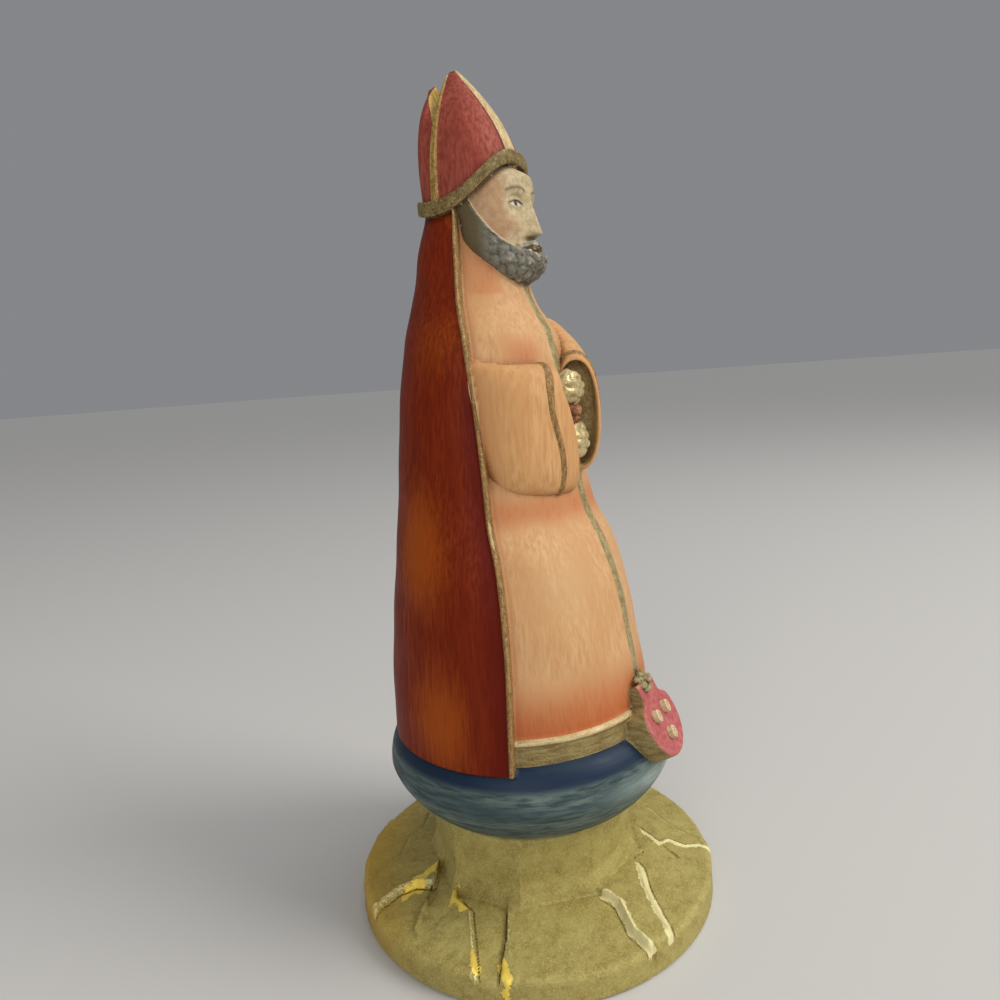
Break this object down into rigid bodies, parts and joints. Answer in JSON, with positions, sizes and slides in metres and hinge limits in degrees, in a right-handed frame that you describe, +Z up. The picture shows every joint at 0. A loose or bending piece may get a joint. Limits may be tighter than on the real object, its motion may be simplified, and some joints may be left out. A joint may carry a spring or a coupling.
{
  "type": "saint figurine",
  "caption": "Painted cast figurine of a bearded bishop saint in mitre, cape and long robe, holding his hands in wide sleeves, with a money bag at the hem, on a globe and a round rock plinth",
  "frame": {"origin": "centre of the plinth's round underside, on the floor", "axes": "+Z up, the saint faces -Y, the saint's right hand side is -X"},
  "size_m": [0.15, 0.15, 0.3313],
  "materials": {
    "painted_casting": "cast resin-plaster, hand painted in deep red, peach and blue with antiqued gold trims, satin",
    "gold_rock": "cast resin-plaster with an antiqued gold coat and flaked gold leaf on the slab edges"
  },
  "bodies": {
    "root": {"figure": "painted_casting", "plinth": "gold_rock"}
  },
  "joints": []
}
